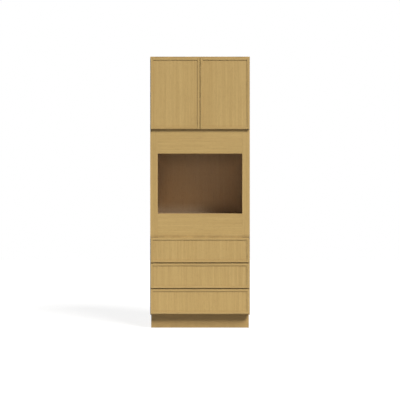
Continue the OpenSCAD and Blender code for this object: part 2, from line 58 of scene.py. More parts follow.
# the photograph looks straight at the face frame, from a little under the middle of the unit
frontView = {"distance": 10.92, "height": 1.0795, "lens": 116.8, "sensor": 36.0, "farEnd": 60}


def addCamera():
    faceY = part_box("left_stile")[0].y
    data = bpy.data.cameras.new("frontCamera")
    data.lens = frontView["lens"]
    data.sensor_width = frontView["sensor"]
    data.sensor_fit = "HORIZONTAL"
    data.clip_end = frontView["farEnd"]
    camera = bpy.data.objects.new("frontCamera", data)
    camera.location = (0, faceY - frontView["distance"], frontView["height"])
    camera.rotation_euler = (math.radians(90), 0, 0)
    bpy.context.scene.collection.objects.link(camera)
    bpy.context.scene.camera = camera


addCamera()
print("camera set")


# helpers for node trees

white = (1, 1, 1, 1)


def connect(tree, value, socket):
    if isinstance(value, bpy.types.NodeSocket):
        tree.links.new(value, socket)
    else:
        socket.default_value = value


def addNode(tree, kind, settings=None, **sockets):
    # a socket is named, or numbered as i0, i1 where several share a name
    node = tree.nodes.new(kind)
    for name, value in (settings or {}).items():
        setattr(node, name, value)
    for name, value in sockets.items():
        numbered = name[0] == "i" and name[1:].isdigit()
        connect(tree, value, node.inputs[int(name[1:]) if numbered else name])
    return node


def calculate(tree, kind, operation, values):
    node = tree.nodes.new(kind)
    node.operation = operation
    for socket, value in zip(node.inputs, values):
        connect(tree, value, socket)
    return node.outputs[0]


def maths(tree, operation, *values):
    return calculate(tree, "ShaderNodeMath", operation, values)


def vectorMaths(tree, operation, *values):
    return calculate(tree, "ShaderNodeVectorMath", operation, values)


def separate(tree, vector):
    return addNode(tree, "ShaderNodeSeparateXYZ", Vector=vector).outputs


def combine(tree, **axes):
    return addNode(tree, "ShaderNodeCombineXYZ", **axes).outputs[0]


def ramp(tree, value, low, high):
    node = addNode(tree, "ShaderNodeMapRange", {"interpolation_type": "SMOOTHSTEP"}, Value=value)
    node.inputs["From Min"].default_value = low
    node.inputs["From Max"].default_value = high
    return node.outputs["Result"]


def noise(tree, vector, scale, detail=3.0, roughness=0.55):
    return addNode(tree, "ShaderNodeTexNoise", Vector=vector, Scale=scale, Detail=detail,
                   Roughness=roughness).outputs["Fac"]


def stretchedNoise(tree, vector, cycles, detail, roughness=0.55):
    # cycles a metre along each axis
    return noise(tree, vectorMaths(tree, "MULTIPLY", vector, cycles), 1.0, detail, roughness)


def mixValues(tree, factor, first, second):
    return addNode(tree, "ShaderNodeMix", i0=factor, i2=first, i3=second).outputs[0]


def mixColours(tree, factor, first, second, blend="MIX"):
    return addNode(tree, "ShaderNodeMix", {"data_type": "RGBA", "blend_type": blend}, i0=factor, i6=first,
                   i7=second).outputs[2]


def newGroup(name, inputs, outputs):
    tree = bpy.data.node_groups.new(name, "ShaderNodeTree")
    for label, kind, value in inputs:
        socket = tree.interface.new_socket(name=label, in_out="INPUT", socket_type="NodeSocket" + kind)
        if value is not None:
            socket.default_value = value
    for label in outputs:
        tree.interface.new_socket(name=label, in_out="OUTPUT", socket_type="NodeSocketFloat")
    return tree, tree.nodes.new("NodeGroupInput").outputs, tree.nodes.new("NodeGroupOutput").inputs


def useGroup(tree, group, **sockets):
    return addNode(tree, "ShaderNodeGroup", {"node_tree": group}, **sockets).outputs


def colour(red, green, blue):
    # the usual 0 to 255 values, as the shaders want them
    parts = [c / 255 for c in (red, green, blue)]
    return tuple(c / 12.92 if c <= 0.04045 else ((c + 0.055) / 1.055) ** 2.4 for c in parts) + (1.0,)


# straight fine grain of quarter-sawn boards; X runs across the board, Y through it and Z along its grain
boardGrain = {
    "seedSteps": (1.73, 3.19, 5.41),   # how far a seed of 1 shifts the pattern along each axis
    "wander": (3.0, 3.0, 1.1),
    "stray": 0.006,                    # how far the lines wander sideways, in metres
    "bands": (8.0, 0.30),              # pattern across and along the grain, in cycles a metre
    "streaks": (62.0, 0.85),
    "lines": (430.0, 4.5),
    "pores": (1500.0, 24.0),
    "poreEdge": (0.60, 0.72),          # noise at which a pore starts, and at which it is full
    "bandDepth": 0.30,
    "streakDepth": 1.20,
    "lineDepth": 1.10,
    "endFacing": (0.60, 0.85),         # how squarely a face cuts the grain before it shows cut ends
    "rings": (18.0, 150.0, 0.0),
    "ringBend": 2.6,
    "ringDepth": 0.35,
    "dots": (1300.0, 1300.0, 0.0),
    "dotTone": 0.9,
    "streakRelief": 0.4,
    "lineRelief": 0.35,
    "poreRelief": -0.6,
}


def makeGrainGroup():
    spec = boardGrain
    tree, given, out = newGroup(
        "boardGrain",
        [("Vector", "Vector", None), ("Normal", "Vector", None), ("Seed", "Float", 0.0),
         ("Strength", "Float", 1.0)],
        ["Tone", "Pores", "EndGrain", "Height"],
    )
    shift = [maths(tree, "MULTIPLY", given["Seed"], step) for step in spec["seedSteps"]]
    place = vectorMaths(tree, "ADD", given["Vector"], combine(tree, i0=shift[0], i1=shift[1], i2=shift[2]))
    bend = stretchedNoise(tree, place, spec["wander"], 2.0)
    stray = maths(tree, "MULTIPLY", maths(tree, "SUBTRACT", bend, 0.5), spec["stray"])
    place = vectorMaths(tree, "ADD", place, combine(tree, i0=stray, i1=stray))

    def lines(name, detail, roughness=0.6):
        across, along = spec[name]
        return stretchedNoise(tree, place, (across, across, along), detail, roughness)

    def deepen(value, depth, base):
        return maths(tree, "MULTIPLY_ADD", maths(tree, "SUBTRACT", value, 0.5), depth, base)

    streaks = lines("streaks", 4.0, 0.65)
    fine = lines("lines", 2.0)
    pores = ramp(tree, lines("pores", 1.0), *spec["poreEdge"])
    tone = deepen(lines("bands", 2.0), spec["bandDepth"], 0.5)
    tone = deepen(streaks, spec["streakDepth"], tone)
    tone = deepen(fine, spec["lineDepth"], tone)
    tone = deepen(tone, given["Strength"], 0.5)

    # across the grain the pores are dots and the rings are bands
    facing = separate(tree, given["Normal"])[2]
    endGrain = ramp(tree, maths(tree, "ABSOLUTE", facing), *spec["endFacing"])
    rings = addNode(tree, "ShaderNodeTexWave", {"wave_type": "BANDS", "bands_direction": "Y"},
                    Vector=vectorMaths(tree, "MULTIPLY", place, spec["rings"]), Scale=1.0,
                    Distortion=spec["ringBend"], Detail=2.0).outputs["Fac"]
    dots = stretchedNoise(tree, place, spec["dots"], 2.0)
    endTone = deepen(rings, spec["ringDepth"], maths(tree, "MULTIPLY", dots, spec["dotTone"]))
    longPores = maths(tree, "MULTIPLY", pores, maths(tree, "SUBTRACT", 1.0, endGrain))
    height = maths(tree, "MULTIPLY_ADD", streaks, spec["streakRelief"],
                   maths(tree, "MULTIPLY", longPores, spec["poreRelief"]))
    connect(tree, mixValues(tree, endGrain, tone, endTone), out["Tone"])
    connect(tree, longPores, out["Pores"])
    connect(tree, endGrain, out["EndGrain"])
    connect(tree, maths(tree, "MULTIPLY_ADD", fine, spec["lineRelief"], height), out["Height"])
    return tree


# cut edges of plywood: thin layers, every other one across its grain, with a few dark voids
thickLayer = 0.0016       # one layer of the boards, in metres
thinLayer = 0.0011        # one layer of the back panel and of the box bottoms
noLayers = 0.0
plyEdge = {
    "faceFacing": (0.35, 0.7),         # how squarely a face looks through the board before it is no edge
    "waves": (40.0, 0.0, 40.0),
    "waveDepth": 0.0004,
    "layerEdge": (-0.35, 0.35),
    "specks": (260.0, 700.0, 260.0),
    "voidEdge": (0.66, 0.74),
}


def makePlyGroup():
    spec = plyEdge
    tree, given, out = newGroup(
        "plyEdge",
        [("Vector", "Vector", None), ("Normal", "Vector", None), ("Layer", "Float", thickLayer)],
        ["Edge", "Layers", "Voids"],
    )
    through = separate(tree, given["Vector"])[1]
    facing = separate(tree, given["Normal"])[1]
    face = ramp(tree, maths(tree, "ABSOLUTE", facing), *spec["faceFacing"])
    wobble = stretchedNoise(tree, given["Vector"], spec["waves"], 2.0)
    depth = maths(tree, "MULTIPLY_ADD", wobble, spec["waveDepth"], through)
    phase = maths(tree, "MULTIPLY", maths(tree, "DIVIDE", depth, given["Layer"]), math.pi)
    specks = stretchedNoise(tree, given["Vector"], spec["specks"], 2.0)
    connect(tree, maths(tree, "SUBTRACT", 1.0, face), out["Edge"])
    connect(tree, ramp(tree, maths(tree, "SINE", phase), *spec["layerEdge"]), out["Layers"])
    connect(tree, ramp(tree, specks, *spec["voidEdge"]), out["Voids"])
    return tree


# a sprayed coat: faint mottling and orange peel
lacquerCoat = {"clouds": 3.2, "rubs": 24.0, "rubDepth": 0.8, "peel": 520.0}


def makeLacquerGroup():
    spec = lacquerCoat
    tree, given, out = newGroup(
        "lacquerCoat",
        [("Vector", "Vector", None), ("Base", "Float", 0.4), ("Spread", "Float", 0.1)],
        ["Roughness", "Peel", "Shade"],
    )
    cloud = noise(tree, given["Vector"], spec["clouds"], 3.0)
    rub = noise(tree, given["Vector"], spec["rubs"], 4.0, 0.7)
    mottled = maths(tree, "MULTIPLY_ADD", maths(tree, "SUBTRACT", rub, 0.5), spec["rubDepth"],
                    maths(tree, "SUBTRACT", cloud, 0.5))
    connect(tree, maths(tree, "MULTIPLY_ADD", mottled, given["Spread"], given["Base"]), out["Roughness"])
    connect(tree, noise(tree, given["Vector"], spec["peel"], 1.0), out["Peel"])
    connect(tree, cloud, out["Shade"])
    return tree


# a soft patch, alike on the left and the right and broken up by noise, used for wear where hands touch and
# for painted shade in bands along edges
handlingAndShadeMarks = {"fade": (0.2, 1.0), "patchNoise": 12.0, "patchEdge": (0.15, 0.75)}


def makeHandlingAndShadeGroup():
    spec = handlingAndShadeMarks
    tree, given, out = newGroup(
        "handlingAndShadeMarks",
        [("Vector", "Vector", None), ("Centre", "Vector", None), ("Reach", "Vector", (0.1, 0.1, 0.1))],
        ["Worn"],
    )
    side = separate(tree, vectorMaths(tree, "ABSOLUTE", given["Vector"]))[0]
    parts = separate(tree, given["Vector"])
    place = combine(tree, i0=side, i1=parts[1], i2=parts[2])
    apart = vectorMaths(tree, "DIVIDE", vectorMaths(tree, "SUBTRACT", place, given["Centre"]), given["Reach"])
    distance = addNode(tree, "ShaderNodeVectorMath", {"operation": "LENGTH"}, i0=apart).outputs["Value"]
    near = maths(tree, "SUBTRACT", 1.0, ramp(tree, distance, *spec["fade"]))
    patchNoise = ramp(tree, noise(tree, given["Vector"], spec["patchNoise"], 5.0, 0.6), *spec["patchEdge"])
    connect(tree, maths(tree, "MULTIPLY", near, patchNoise), out["Worn"])
    return tree


# painted shade along the border of a field, on faces turned to the front, where recesses, gaps and corners
# are in shade
paintedCornerShade = {"fade": (-0.4, 1.0), "frontFacing": (-0.3, -0.8), "patches": 60.0, "patchDepth": 0.6,
               "patchBase": 0.7}


def makeCornerShadeGroup():
    # Low and High are the field's corners
    spec = paintedCornerShade
    tree, given, out = newGroup(
        "paintedCornerShade",
        [("Vector", "Vector", None), ("Normal", "Vector", None), ("Low", "Vector", None),
         ("High", "Vector", None), ("Reach", "Float", 0.01)],
        ["Shade"],
    )
    fromLow = separate(tree, vectorMaths(tree, "SUBTRACT", given["Vector"], given["Low"]))
    toHigh = separate(tree, vectorMaths(tree, "SUBTRACT", given["High"], given["Vector"]))
    outward = separate(tree, given["Normal"])[1]
    sideways = maths(tree, "MINIMUM", fromLow[0], toHigh[0])
    upward = maths(tree, "MINIMUM", fromLow[2], toHigh[2])
    away = maths(tree, "ABSOLUTE", maths(tree, "MINIMUM", sideways, upward))
    faded = ramp(tree, maths(tree, "DIVIDE", away, given["Reach"]), *spec["fade"])
    shade = maths(tree, "MULTIPLY", maths(tree, "SUBTRACT", 1.0, faded),
                  ramp(tree, outward, *spec["frontFacing"]))
    uneven = maths(tree, "MULTIPLY_ADD", noise(tree, given["Vector"], spec["patches"], 2.0),
                   spec["patchDepth"], spec["patchBase"])
    connect(tree, maths(tree, "MULTIPLY", shade, uneven), out["Shade"])
    return tree


# X is the direction in which the metal was drawn
drawnMetal = {"scratches": (14.0, 2600.0, 2600.0), "scratchDepth": 0.22, "tarnishStretch": (0.35, 1.0, 1.0),
              "tarnish": 60.0, "tarnishDepth": 0.12}


def makeDrawnMetalGroup():
    spec = drawnMetal
    tree, given, out = newGroup(
        "drawnMetal",
        [("Vector", "Vector", None), ("Base", "Float", 0.3)],
        ["Roughness", "Scratches", "Tarnish"],
    )
    scratches = stretchedNoise(tree, given["Vector"], spec["scratches"], 3.0)
    stretched = vectorMaths(tree, "MULTIPLY", given["Vector"], spec["tarnishStretch"])
    tarnish = noise(tree, stretched, spec["tarnish"], 4.0, 0.6)
    rough = maths(tree, "MULTIPLY_ADD", maths(tree, "SUBTRACT", scratches, 0.5), spec["scratchDepth"],
                  given["Base"])
    connect(tree, maths(tree, "MULTIPLY_ADD", tarnish, spec["tarnishDepth"], rough), out["Roughness"])
    connect(tree, scratches, out["Scratches"])
    connect(tree, tarnish, out["Tarnish"])
    return tree


grainGroup = makeGrainGroup()
plyGroup = makePlyGroup()
lacquerGroup = makeLacquerGroup()
handlingAndShadeGroup = makeHandlingAndShadeGroup()
paintedShadeGroup = makeCornerShadeGroup()
metalGroup = makeDrawnMetalGroup()
print("node groups made")


# materials

def newMaterial(name):
    material = bpy.data.materials.new(name)
    material.use_nodes = True
    tree = material.node_tree
    tree.nodes.clear()
    shader = tree.nodes.new("ShaderNodeBsdfPrincipled")
    output = tree.nodes.new("ShaderNodeOutputMaterial")
    tree.links.new(shader.outputs[0], output.inputs["Surface"])
    coords = tree.nodes.new("ShaderNodeTexCoord")
    return material, tree, shader, coords


def finishSurface(tree, shader, tint, rough, bump):
    tree.links.new(tint, shader.inputs["Base Color"])
    tree.links.new(rough, shader.inputs["Roughness"])
    tree.links.new(bump.outputs[0], shader.inputs["Normal"])


def turned(tree, vector, order):
    # order names the axes of the object that run across, through and along the board
    parts = separate(tree, vector)
    joined = tree.nodes.new("ShaderNodeCombineXYZ")
    for axis, socket in zip(order, joined.inputs):
        tree.links.new(parts["XYZ".index(axis)], socket)
    return joined.outputs[0]


frontWood = {"pale": colour(205, 175, 115), "deep": colour(179, 147, 88), "pore": colour(146, 112, 62),
             "end": colour(158, 124, 78), "rough": 0.42, "spread": 0.08, "coat": 0.12, "specular": 0.4,
             "strength": 1.0}
caseVeneer = {"pale": colour(201, 169, 111), "deep": colour(174, 141, 85), "pore": colour(146, 112, 64),
              "end": colour(150, 116, 74), "rough": 0.46, "spread": 0.08, "coat": 0.08, "specular": 0.4,
              "strength": 1.0}
birchPly = {"pale": colour(231, 211, 174), "deep": colour(213, 188, 148), "pore": colour(172, 142, 106),
            "end": colour(156, 122, 86), "rough": 0.64, "spread": 0.10, "coat": 0.0, "specular": 0.15,
            "strength": 0.8}
# a paler copy of the birch ply for the back panel: painted light that brightens the back of the oven bay
paintedLightBackPly = dict(birchPly, pale=colour(242, 218, 185), deep=colour(227, 198, 161), rough=0.58, specular=0.4)
# a darker ply for the deck: painted shade that keeps the floor of the oven bay dark
paintedShadeDeckPly = {"pale": colour(196, 166, 126), "deep": colour(172, 142, 104), "pore": colour(140, 110, 76),
            "end": colour(140, 106, 70), "rough": 0.55, "spread": 0.10, "coat": 0.0, "specular": 0.4,
            "strength": 0.8}
boxBoards = {"pale": colour(214, 184, 134), "deep": colour(188, 154, 104), "pore": colour(168, 134, 90),
             "end": colour(150, 116, 74), "rough": 0.45, "spread": 0.08, "coat": 0.10, "specular": 0.4,
             "strength": 0.9}
woodFinish = {
    "poreTint": 0.7,                   # how far pores and cut ends take on their own colours
    "endTint": 0.75,
    "secondSeed": 4.7,                 # from a board's seed to that of the board across it
    "cloudDepth": 0.10,
    "cloudBase": 0.95,
    "peelRelief": 0.12,
    "bump": 0.30,
    "bumpDepth": 0.0004,
    "coatRough": 0.3,
}


def woodColour(tree, grain, wood):
    pores = maths(tree, "MULTIPLY", grain["Pores"], woodFinish["poreTint"])
    ends = maths(tree, "MULTIPLY", grain["EndGrain"], woodFinish["endTint"])
    tint = mixColours(tree, grain["Tone"], wood["deep"], wood["pale"])
    tint = mixColours(tree, pores, tint, wood["pore"])
    return mixColours(tree, ends, tint, wood["end"])


def woodMaterial(name, wood, order, seed, plyLayer=noLayers, crossOrder=None, crossBeyond=0.0, wearAndShade=None,
                 fields=()):
    spec = woodFinish
    material, tree, shader, coords = newMaterial(name)
    place = coords.outputs["Object"]
    facing = coords.outputs["Normal"]

    def board(axes, number):
        return useGroup(tree, grainGroup, Vector=turned(tree, place, axes), Normal=turned(tree, facing, axes),
                        Seed=number, Strength=wood["strength"])

    grain = board(order, seed)
    tint = woodColour(tree, grain, wood)
    height = grain["Height"]
    if crossOrder:         # further out than crossBeyond lies another board, with its grain the other way
        across = separate(tree, place)[0]
        beyond = maths(tree, "GREATER_THAN", maths(tree, "ABSOLUTE", across), crossBeyond)
        second = board(crossOrder, seed + spec["secondSeed"])
        tint = mixColours(tree, beyond, tint, woodColour(tree, second, wood))
        height = mixValues(tree, beyond, height, second["Height"])
    if plyLayer:
        ply = useGroup(tree, plyGroup, Vector=turned(tree, place, order), Normal=turned(tree, facing, order),
                       Layer=plyLayer)
        layers = mixColours(tree, ply["Layers"], wood["end"], wood["pale"])
        layers = mixColours(tree, ply["Voids"], layers, wood["pore"])
        tint = mixColours(tree, ply["Edge"], tint, layers)
    coat = useGroup(tree, lacquerGroup, Vector=place, Base=wood["rough"], Spread=wood["spread"])
    rough = coat["Roughness"]
    shade = maths(tree, "MULTIPLY_ADD", coat["Shade"], spec["cloudDepth"], spec["cloudBase"])
    if wearAndShade:               # wear darkens a touched place and painted shade darkens a shaded band, each shinier or duller as its mark says
        patch = useGroup(tree, handlingAndShadeGroup, Vector=place, Centre=wearAndShade["centre"],
                         Reach=wearAndShade["reach"])["Worn"]
        shade = maths(tree, "SUBTRACT", shade, maths(tree, "MULTIPLY", patch, wearAndShade["dirtAndShade"]))
        rough = maths(tree, "MULTIPLY_ADD", patch, wearAndShade["rough"], rough)
    for field in fields:   # painted shade: darker along the border of each field
        corner = useGroup(tree, paintedShadeGroup, Vector=place, Normal=facing, Low=field["low"],
                          High=field["high"], Reach=field["reach"])["Shade"]
        shade = maths(tree, "SUBTRACT", shade, maths(tree, "MULTIPLY", corner, field["depth"]))
    tint = mixColours(tree, 1.0, tint, shade, "MULTIPLY")
    relief = maths(tree, "MULTIPLY_ADD", coat["Peel"], spec["peelRelief"], height)
    bump = addNode(tree, "ShaderNodeBump", Strength=spec["bump"], Distance=spec["bumpDepth"], Height=relief)
    finishSurface(tree, shader, tint, rough, bump)
    shader.inputs["Coat Weight"].default_value = wood["coat"]
    shader.inputs["Coat Roughness"].default_value = spec["coatRough"]
    shader.inputs["Specular IOR Level"].default_value = wood["specular"]
    return material


zincPlate = {"metal": colour(194, 198, 204), "tarnish": colour(180, 184, 188), "rough": 0.30,
             "order": "YXZ"}
nickelPlate = {"metal": colour(206, 203, 196), "tarnish": colour(186, 182, 174), "rough": 0.24,
               "order": "ZXY"}
polishedSteel = {"metal": colour(222, 224, 228), "tarnish": colour(206, 208, 212), "rough": 0.12,
                 "order": "YXZ"}
yellowZinc = {"metal": colour(206, 188, 140), "tarnish": colour(176, 160, 124), "rough": 0.28,
              "order": "XYZ"}
metalFinish = {"tarnishEdge": (0.45, 0.8), "bump": 0.15, "bumpDepth": 0.0001}


def metalMaterial(name, metal):
    spec = metalFinish
    material, tree, shader, coords = newMaterial(name)
    drawn = useGroup(tree, metalGroup, Vector=turned(tree, coords.outputs["Object"], metal["order"]),
                     Base=metal["rough"])
    tarnished = ramp(tree, drawn["Tarnish"], *spec["tarnishEdge"])
    tint = mixColours(tree, tarnished, metal["metal"], metal["tarnish"])
    bump = addNode(tree, "ShaderNodeBump", Strength=spec["bump"], Distance=spec["bumpDepth"],
                   Height=drawn["Scratches"])
    finishSurface(tree, shader, tint, drawn["Roughness"], bump)
    shader.inputs["Metallic"].default_value = 1.0
    return material


softRubber = {
    "pale": colour(232, 232, 226), "deep": colour(214, 214, 206),
    "clouds": 180.0, "grit": 900.0,
    "rough": 0.3, "spread": 0.2,
    "bump": 0.2, "bumpDepth": 0.0002,
    "milkiness": 0.2, "scatter": 0.004,
}


def rubberMaterial(name, rubber):
    material, tree, shader, coords = newMaterial(name)
    cloud = noise(tree, coords.outputs["Object"], rubber["clouds"], 3.0)
    grit = noise(tree, coords.outputs["Object"], rubber["grit"], 2.0)
    tint = mixColours(tree, cloud, rubber["deep"], rubber["pale"])
    rough = maths(tree, "MULTIPLY_ADD", cloud, rubber["spread"], rubber["rough"])
    bump = addNode(tree, "ShaderNodeBump", Strength=rubber["bump"], Distance=rubber["bumpDepth"], Height=grit)
    finishSurface(tree, shader, tint, rough, bump)
    shader.inputs["Subsurface Weight"].default_value = rubber["milkiness"]
    shader.inputs["Subsurface Scale"].default_value = rubber["scatter"]
    return material


zincSteel = metalMaterial("zincSteel", zincPlate)
nickelSteel = metalMaterial("nickelSteel", nickelPlate)
brightSteel = metalMaterial("brightSteel", polishedSteel)
screwSteel = metalMaterial("screwSteel", yellowZinc)
milkyRubber = rubberMaterial("milkyRubber", softRubber)


def dress(node, material):
    nodes[node].data.materials.clear()
    nodes[node].data.materials.append(material)


# painted shade on the face frame just above the top drawer and just above the doors, on the toe board
# towards the floor and along the front of the deck; each mark also makes the coat shinier or duller
paintedShadeMarks = {
    "aboveDrawers": {"centre": (0, -0.29, 0.766), "reach": (1.4, 0.1, 0.032), "dirtAndShade": 0.32, "rough": -0.06},
    "aboveDoors": {"centre": (0, -0.29, 2.276), "reach": (1.4, 0.1, 0.026), "dirtAndShade": 0.32, "rough": 0.10},
    "aboveFloor": {"centre": (0, -0.23, 0.0), "reach": (1.2, 0.1, 0.070), "dirtAndShade": 0.22, "rough": 0.10},
    "deckFront": {"centre": (0, -0.30, 0.965), "reach": (1.4, 0.60, 0.05), "dirtAndShade": 0.15, "rough": 0.05},
}
paintedShadeBoards = {
    "lower_oven_rail": paintedShadeMarks["aboveDrawers"],
    "left_stile": paintedShadeMarks["aboveDrawers"],
    "right_stile": paintedShadeMarks["aboveDrawers"],
    "frame_rails": paintedShadeMarks["aboveDoors"],
    "toe_kick_board": paintedShadeMarks["aboveFloor"],
    "oven_deck": paintedShadeMarks["deckFront"],
}

# each board of the cabinet: its wood, the axes across, through and along it, its seed and its layers
caseBoards = {
    "left_side_panel": (caseVeneer, "YXZ", 1.0, thickLayer),
    "right_side_panel": (caseVeneer, "YXZ", 2.1, thickLayer),
    "toe_kick_board": (caseVeneer, "ZYX", 3.3, thickLayer),
    "left_stile": (frontWood, "XYZ", 4.2, noLayers),
    "right_stile": (frontWood, "XYZ", 5.6, noLayers),
    "frame_rails": (frontWood, "ZYX", 6.4, noLayers),
    "upper_oven_rail": (frontWood, "ZYX", 7.9, noLayers),
    "lower_oven_rail": (frontWood, "ZYX", 8.3, noLayers),
    "cabinet_floor": (birchPly, "YZX", 9.7, thickLayer),
    "cabinet_top": (birchPly, "YZX", 10.2, thickLayer),
    "back_panel": (paintedLightBackPly, "XYZ", 11.8, thinLayer),
    "hanging_rails": (birchPly, "ZYX", 12.5, thickLayer),
    "oven_deck": (paintedShadeDeckPly, "YZX", 13.1, thickLayer),
    "oven_deck_cleats": (birchPly, "ZXY", 14.6, noLayers),
    "cupboard_floor": (birchPly, "YZX", 15.4, thickLayer),
    "cupboard_shelf": (birchPly, "YZX", 16.9, noLayers),
    "runner_blocks": (birchPly, "ZXY", 17.3, noLayers),
}

# painted shade: the back of the oven bay is darker towards the bay's edges, where its corners are in shade
paintedBayShade = {
    "low": Vector((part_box("left_side_panel")[1].x, 0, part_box("oven_deck")[1].z)),
    "high": Vector((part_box("right_side_panel")[0].x, 0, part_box("upper_oven_rail")[0].z)),
    "reach": 0.14, "depth": 0.38,
}

# painted shade on the face frame along the edges of the doors and drawers and in the gaps between them
railPaintedShade = {"reach": 0.012, "depth": 0.35}
stilePaintedShade = {"reach": 0.010, "depth": 0.40}


def outline(first, last, paintedShade):
    # the border of what lies over a board, from one piece to another
    return dict(paintedShade, low=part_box(first)[0], high=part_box(last)[1])


def drawerOutlines(paintedShade):
    return [outline(name + "_front_frame", name + "_front_frame", paintedShade) for name in drawerNames]


stileOutlines = [outline("left_door_stiles", "right_door_stiles", stilePaintedShade)] + drawerOutlines(stilePaintedShade)
borders = {"back_panel": [paintedBayShade], "frame_rails": drawerOutlines(railPaintedShade), "left_stile": stileOutlines,
           "right_stile": stileOutlines}
for node, (wood, order, seed, plyLayer) in caseBoards.items():
    dress(node, woodMaterial(node + "_wood", wood, order, seed, plyLayer, wearAndShade=paintedShadeBoards.get(node),
                             fields=borders.get(node, ())))
print("cabinet boards finished")

# with no handles, the doors are opened at their lower inner corners and the drawers by their top edges
doorHands = {"centre": (0.03, -0.315, 1.70), "reach": (0.10, 0.1, 0.16), "dirtAndShade": 0.05, "rough": -0.08}
drawerHands = {"depth": -0.315, "reach": (0.22, 0.1, 0.035), "dirtAndShade": 0.05, "rough": -0.08}

slimFrame = 0.01905       # width of the frame round each front
# painted shade where each slim frame meets its sunk panel, on the panel and on the frame
sunkPaintedShade = {"reach": 0.016, "panel": 0.15, "frame": 0.10}
doorBoards = {"door_stiles": ("XYZ", 21.3), "door_rails": ("ZYX", 23.6), "door_panel": ("XYZ", 25.2)}
doorSeedStep = 1.1
drawerBoards = {
    "front_frame": (frontWood, "ZYX", 31.7),
    "front_panel": (frontWood, "XYZ", 35.5),
    "box_sides": (boxBoards, "ZXY", 41.2),
    "box_ends": (boxBoards, "ZYX", 45.8),
    "box_bottom": (birchPly, "YZX", 51.4),
}
runnerPieces = ("drawer_runners", "middle_runners")


def sunkField(low, high, depth):
    # the part of a panel that its frame leaves open
    rim = Vector((slimFrame, 0, slimFrame))
    return {"low": low + rim, "high": high - rim, "reach": sunkPaintedShade["reach"], "depth": depth}


for number, side in enumerate(doorSides):
    for piece, (order, seed) in doorBoards.items():
        name = side + "_" + piece
        depth = sunkPaintedShade["panel" if piece == "door_panel" else "frame"]
        field = sunkField(*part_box(side + "_door_stiles"), depth)
        dress(name, woodMaterial(name + "_wood", frontWood, order, seed + doorSeedStep * number,
                                 wearAndShade=doorHands, fields=[field]))
    dress(side + "_hinge_cups", nickelSteel)
    dress(side + "_hinge_pins", brightSteel)
    dress(side + "_door_bumpers", milkyRubber)

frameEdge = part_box("top_front_frame")[1].x - slimFrame   # where the rails of a drawer front meet its stiles
for number, name in enumerate(drawerNames):
    hands = dict(drawerHands, centre=(0.0, drawerHands["depth"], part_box(name + "_front_frame")[1].z))
    onFrame = sunkField(*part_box(name + "_front_frame"), sunkPaintedShade["frame"])
    onPanel = sunkField(*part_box(name + "_front_frame"), sunkPaintedShade["panel"])
    extras = {
        "front_frame": {"crossOrder": "XYZ", "crossBeyond": frameEdge, "wearAndShade": hands, "fields": [onFrame]},
        "front_panel": {"wearAndShade": hands, "fields": [onPanel]},
        "box_bottom": {"plyLayer": thinLayer},
    }
    for piece, (wood, order, seed) in drawerBoards.items():
        node = name + "_" + piece
        dress(node, woodMaterial(node + "_wood", wood, order, seed + number, **extras.get(piece, {})))
    for piece in runnerPieces:
        dress(name + "_" + piece, zincSteel)
    for piece in ("inner_cages", "outer_cages"):
        dress(name + "_" + piece, brightSteel)
dress("cabinet_runners", zincSteel)
dress("hinge_arms", nickelSteel)
dress("shelf_pins", nickelSteel)
print("fronts, boxes and metal finished")


# sanded edges on every board, and a slight round on the rolled runners
easing = {"frame": 0.0008, "board": 0.0006, "joint": 0.0003, "steel": 0.0002, "segments": 2, "weld": 0.00001,
          "sharpest": 40}


def easeEdges(node, width):
    weld = nodes[node].modifiers.new("joinCorners", "WELD")
    weld.merge_threshold = easing["weld"]
    bevel = nodes[node].modifiers.new("easedEdges", "BEVEL")
    bevel.width = width
    bevel.segments = easing["segments"]
    bevel.limit_method = "ANGLE"
    bevel.angle_limit = math.radians(easing["sharpest"])


for node in caseBoards:
    easeEdges(node, easing["frame"] if caseBoards[node][0] is frontWood else easing["board"])
easeEdges("cabinet_runners", easing["steel"])
for side in doorSides:
    for piece in doorBoards:
        easeEdges(side + "_" + piece, easing["joint"])
for name in drawerNames:
    for piece in drawerBoards:
        easeEdges(name + "_" + piece, easing["joint"])
    for piece in runnerPieces:
        easeEdges(name + "_" + piece, easing["steel"])
print("edges eased")


# screws: a spun head with a cross recess cut into it
screwHeads = {
    "pan": {"radius": 0.0040, "height": 0.0022, "crown": 0.0009, "recess": 0.0016, "steps": 24},
    "low": {"radius": 0.0037, "height": 0.00045, "crown": 0.0003, "recess": 0.0004, "steps": 24},
    "washer": {"radius": 0.0062, "height": 0.0030, "crown": 0.0014, "recess": 0.0018, "steps": 24},
}
crownProfile = ((0.93, 0.45), (0.75, 0.12), (0.45, 0.0))   # share of the radius, share of the crown dropped
crossRecess = {"reach": 0.0024, "width": 0.0009}
mergeWithin = 0.000005
turnEach = 0.9             # from one copy to the next, in radians


def spinProfile(points, steps):
    shape = bmesh.new()
    corners = [shape.verts.new((radius, 0, height)) for radius, height in points]
    edges = [shape.edges.new(pair) for pair in zip(corners, corners[1:])]
    bmesh.ops.spin(shape, geom=corners + edges, cent=(0, 0, 0), axis=(0, 0, 1), angle=2 * math.pi,
                   steps=steps, use_merge=True, use_duplicate=False)
    bmesh.ops.remove_doubles(shape, verts=shape.verts, dist=mergeWithin)
    bmesh.ops.recalc_face_normals(shape, faces=shape.faces)
    return shape


def toMesh(shape, name):
    mesh = bpy.data.meshes.new(name)
    shape.to_mesh(mesh)
    shape.free()
    return mesh


def toObject(shape, name):
    piece = bpy.data.objects.new(name, toMesh(shape, name))
    bpy.context.scene.collection.objects.link(piece)
    return piece


